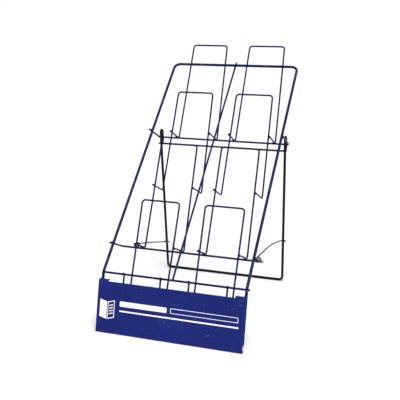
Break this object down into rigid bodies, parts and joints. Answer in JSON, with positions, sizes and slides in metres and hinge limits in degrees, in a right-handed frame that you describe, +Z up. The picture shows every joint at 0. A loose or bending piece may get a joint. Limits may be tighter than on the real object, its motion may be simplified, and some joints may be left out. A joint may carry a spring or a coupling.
{
  "type": "folding wire leaflet rack",
  "caption": "Table-top folding wire rack that holds leaflets in stepped pockets over a sign panel, propped by a hinged rear leg with hooked stays.",
  "frame": {"origin": "centre of the rack's footprint, on the surface it stands on", "axes": "+Z up, +Y from the sign panel towards the rear leg, +X to the right as seen from the front"},
  "size_m": [0.2548, 0.3864, 0.4365],
  "materials": {
    "navy_heavy_wire": "semi-gloss navy powder coat on heavy steel wire",
    "navy_wire": "semi-gloss navy powder coat on steel wire",
    "navy_sheet": "smooth navy enamel on sheet steel",
    "dark_leg_wire": "very dark navy powder coat",
    "stay_wire": "thin dark coat on steel wire, worn greyish"
  },
  "bodies": {
    "frame": {"outer_frame": "navy_heavy_wire", "centre_rail": "navy_wire", "bottom_crossbar": "navy_wire", "upper_shelf_bar": "navy_wire", "lower_shelf_bar": "navy_wire", "sign_panel": "navy_sheet", "pocket_hoop_row1_left": "navy_wire", "pocket_hoop_row2_left": "navy_wire", "pocket_hoop_row3_left": "navy_wire", "pocket_hoop_row4_left": "navy_wire", "front_wire_left_outer": "navy_wire", "front_wire_left_inner": "navy_wire", "pocket_hoop_row1_right": "navy_wire", "pocket_hoop_row2_right": "navy_wire", "pocket_hoop_row3_right": "navy_wire", "pocket_hoop_row4_right": "navy_wire", "front_wire_right_outer": "navy_wire", "front_wire_right_inner": "navy_wire"},
    "leg": {"rear_leg": "dark_leg_wire", "leg_brace": "dark_leg_wire"},
    "left_stay": {"left_stay": "stay_wire"},
    "right_stay": {"right_stay": "stay_wire"}
  },
  "joints": [
    {"name": "leg_fold", "type": "hinge", "parent": "frame", "child": "leg", "pos_m": [0, 0.10043, 0.26883], "axis": [-1, 0, 0], "range_deg": [0, 50]},
    {"name": "left_stay_swing", "type": "hinge", "parent": "frame", "child": "left_stay", "pos_m": [-0.0876, -0.09838, 0.12112], "axis": [1, 0, 0], "range_deg": [0, 43]},
    {"name": "right_stay_swing", "type": "hinge", "parent": "frame", "child": "right_stay", "pos_m": [0.12405, -0.11063, 0.12328], "axis": [1, 0, 0], "range_deg": [0, 43]}
  ],
  "couplings": [
    {"joint": "left_stay_swing", "follows": "leg_fold", "ratio": 0.86},
    {"joint": "right_stay_swing", "follows": "leg_fold", "ratio": 0.86}
  ]
}
